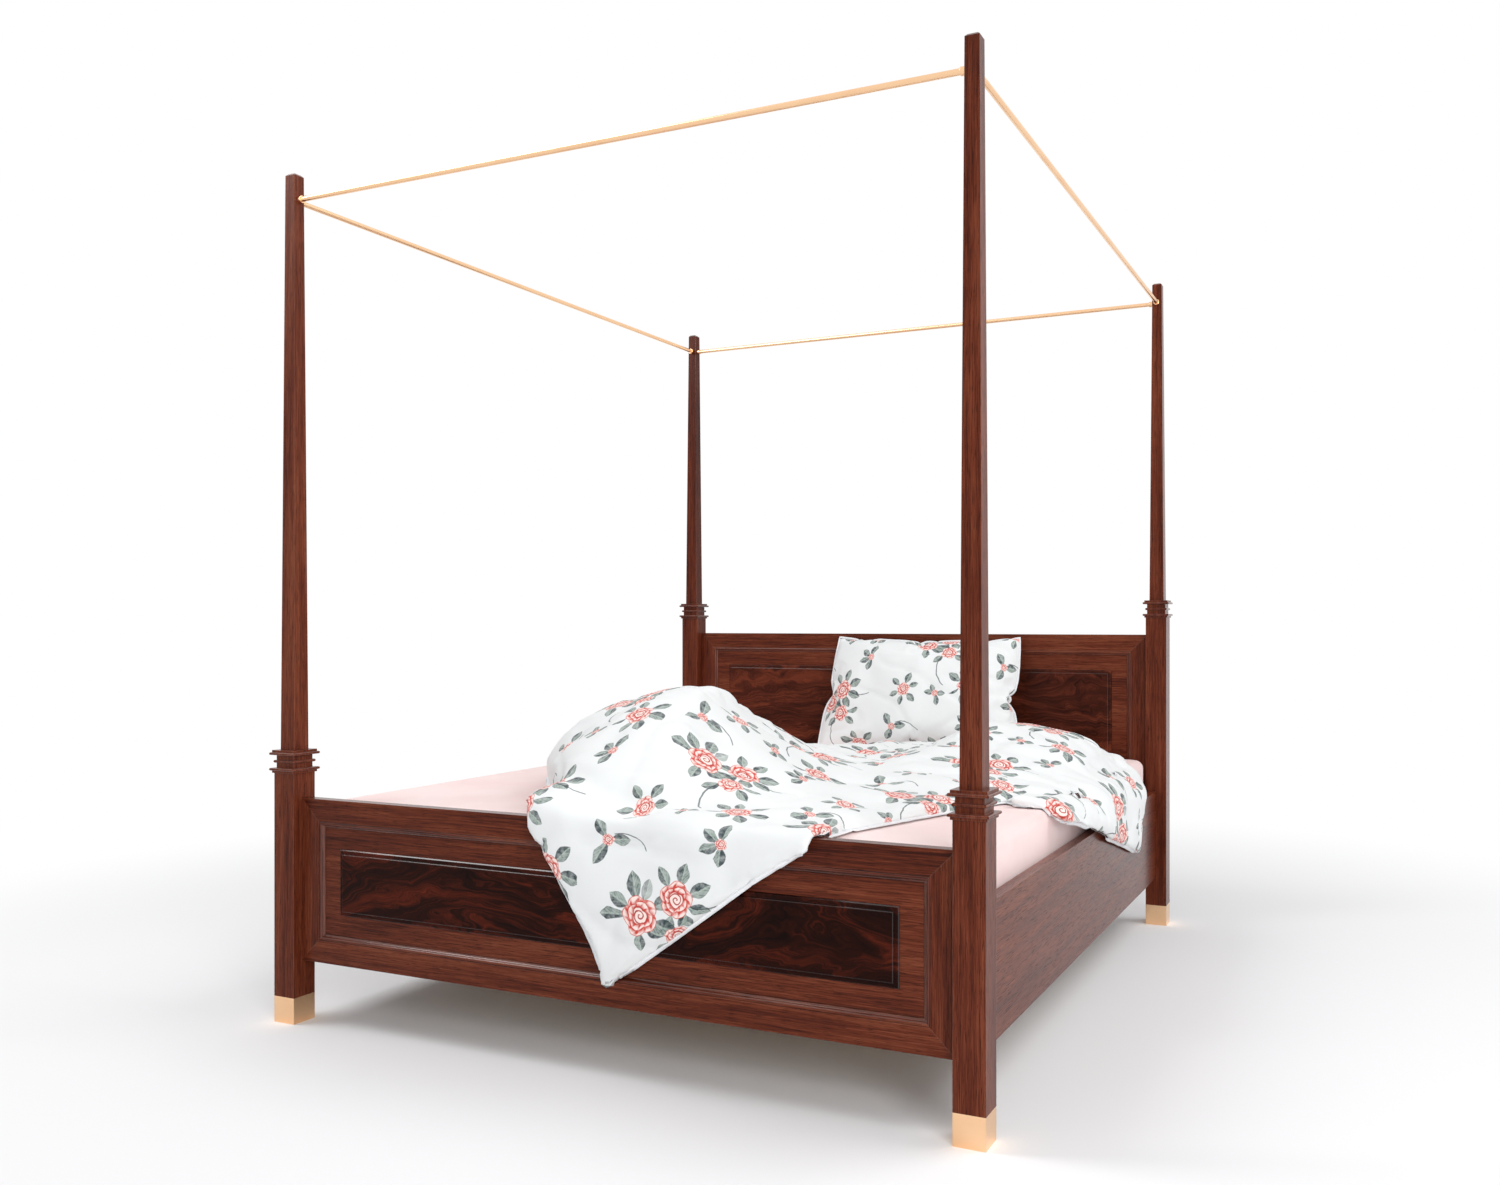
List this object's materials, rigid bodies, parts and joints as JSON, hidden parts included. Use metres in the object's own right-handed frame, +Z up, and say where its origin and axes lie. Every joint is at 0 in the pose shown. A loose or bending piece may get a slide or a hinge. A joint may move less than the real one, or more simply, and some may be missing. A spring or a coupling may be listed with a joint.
{
  "type": "canopy bed",
  "caption": "Double canopy bed of square tapered posts with moulded collars, brass foot caps and rods, panelled head and foot boards, slatted base, mattress, duvet and pillow.",
  "frame": {"origin": "on the floor, in the middle of the four posts", "axes": "+X to the right side seen from the foot end, +Y from the footboard to the headboard, +Z up"},
  "size_m": [1.964, 2.161, 2.235],
  "materials": {
    "mahogany": "red-brown mahogany, satin polish",
    "figured_mahogany": "dark figured mahogany veneer, satin polish",
    "pale_wood": "plain pale hardwood, unpolished",
    "brass": "polished pale brass",
    "steel": "zinc-plated steel",
    "dark_plastic": "moulded dark plastic",
    "ticking": "white mattress ticking",
    "pink_cotton": "pale pink jersey sheet",
    "printed_cotton": "white cotton with a rose print"
  },
  "bodies": {
    "bed_frame": {"beam_hangers": "steel", "beam_leg_glides": "dark_plastic", "beam_legs": "pale_wood", "centre_beam": "pale_wood", "foot_cap_pins": "brass", "foot_left_collar": "mahogany", "foot_left_foot_cap": "brass", "foot_left_leg": "mahogany", "foot_left_shaft": "mahogany", "foot_right_collar": "mahogany", "foot_right_foot_cap": "brass", "foot_right_leg": "mahogany", "foot_right_shaft": "mahogany", "foot_rod": "brass", "footboard_bottom_rail": "mahogany", "footboard_field": "mahogany", "footboard_left_stile": "mahogany", "footboard_mitre_dowels": "pale_wood", "footboard_panel_screws": "steel", "footboard_raised_panel": "figured_mahogany", "footboard_right_stile": "mahogany", "footboard_top_rail": "mahogany", "head_left_collar": "mahogany", "head_left_foot_cap": "brass", "head_left_leg": "mahogany", "head_left_shaft": "mahogany", "head_right_collar": "mahogany", "head_right_foot_cap": "brass", "head_right_leg": "mahogany", "head_right_shaft": "mahogany", "head_rod": "brass", "headboard_bottom_rail": "mahogany", "headboard_field": "mahogany", "headboard_left_stile": "mahogany", "headboard_mitre_dowels": "pale_wood", "headboard_panel_screws": "steel", "headboard_raised_panel": "figured_mahogany", "headboard_right_stile": "mahogany", "headboard_top_rail": "mahogany", "ledger_screws": "steel", "left_ledger": "pale_wood", "left_rod": "brass", "left_side_rail": "mahogany", "post_hook_plates": "steel", "post_studs": "steel", "rail_hooks": "steel", "right_ledger": "pale_wood", "right_rod": "brass", "right_side_rail": "mahogany", "rod_ferrules": "brass"},
    "slatted_base": {"slat_base_centre_bar": "pale_wood", "slat_base_end_bars": "pale_wood", "slat_base_side_bars": "pale_wood", "slat_holders": "dark_plastic", "slats_left": "pale_wood", "slats_right": "pale_wood"},
    "mattress": {"mattress": "ticking", "fitted_sheet": "pink_cotton"},
    "duvet": {"duvet": "printed_cotton"},
    "pillow": {"pillow": "printed_cotton"}
  },
  "joints": [
    {"name": "slatted_base_lift", "type": "slide", "parent": "bed_frame", "child": "slatted_base", "axis": [0, 0, 1], "range_m": [0, 0.3]},
    {"name": "mattress_lift", "type": "slide", "parent": "slatted_base", "child": "mattress", "axis": [0, 0, 1], "range_m": [0, 0.3]},
    {"name": "duvet_lift", "type": "slide", "parent": "mattress", "child": "duvet", "axis": [0, 0, 1], "range_m": [0, 0.45]},
    {"name": "pillow_lift", "type": "slide", "parent": "mattress", "child": "pillow", "axis": [0, 0, 1], "range_m": [0, 0.45]}
  ]
}
